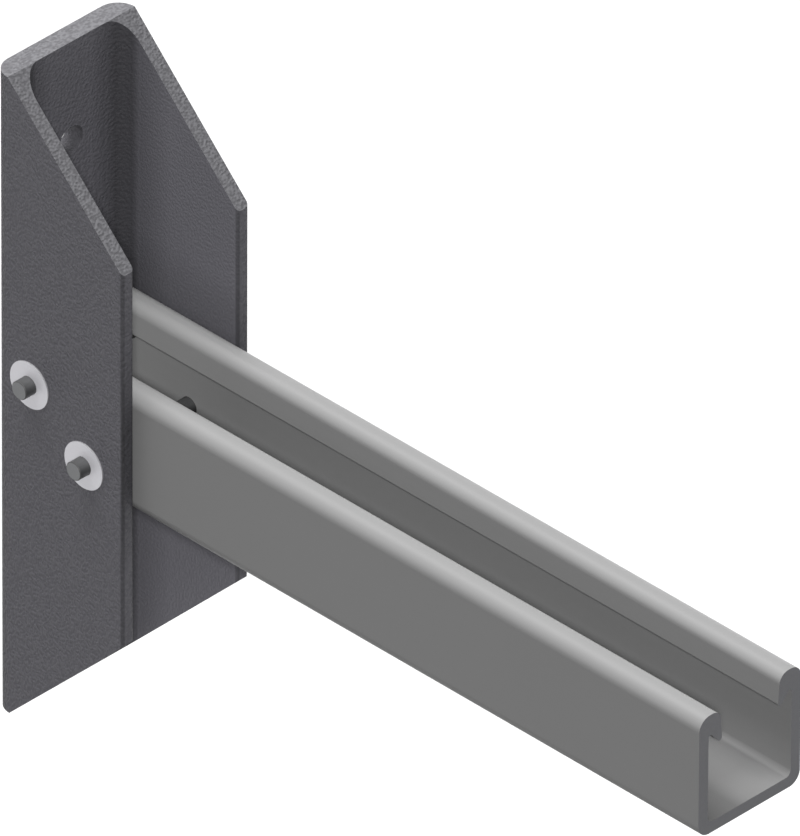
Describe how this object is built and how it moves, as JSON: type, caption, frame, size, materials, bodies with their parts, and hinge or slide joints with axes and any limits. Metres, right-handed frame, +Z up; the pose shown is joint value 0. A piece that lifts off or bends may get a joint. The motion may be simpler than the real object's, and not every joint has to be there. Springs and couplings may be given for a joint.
{
  "type": "cantilever strut arm",
  "caption": "Slotted channel arm held by cross pins between the flanges of an upright channel bracket that bolts flat to a wall; carries pipes and cable trays.",
  "frame": {"origin": "centre of the bracket's back face, which lies on the wall, at the middle of its width and height", "axes": "+X out from the wall along the arm, +Y to the right of someone who faces the wall, +Z up"},
  "size_m": [0.2814, 0.0604, 0.2232],
  "materials": {
    "bracket_fibreglass": "dark grey, rippled, satin",
    "arm_fibreglass": "mid grey, smooth, satin",
    "pin_steel": "plain turned steel",
    "washer_steel": "dull zinc"
  },
  "bodies": {
    "root": {"wall_bracket": "bracket_fibreglass", "strut_arm": "arm_fibreglass", "upper_pin": "pin_steel", "lower_pin": "pin_steel", "upper_left_washer": "washer_steel", "upper_right_washer": "washer_steel", "lower_left_washer": "washer_steel", "lower_right_washer": "washer_steel"}
  },
  "joints": []
}
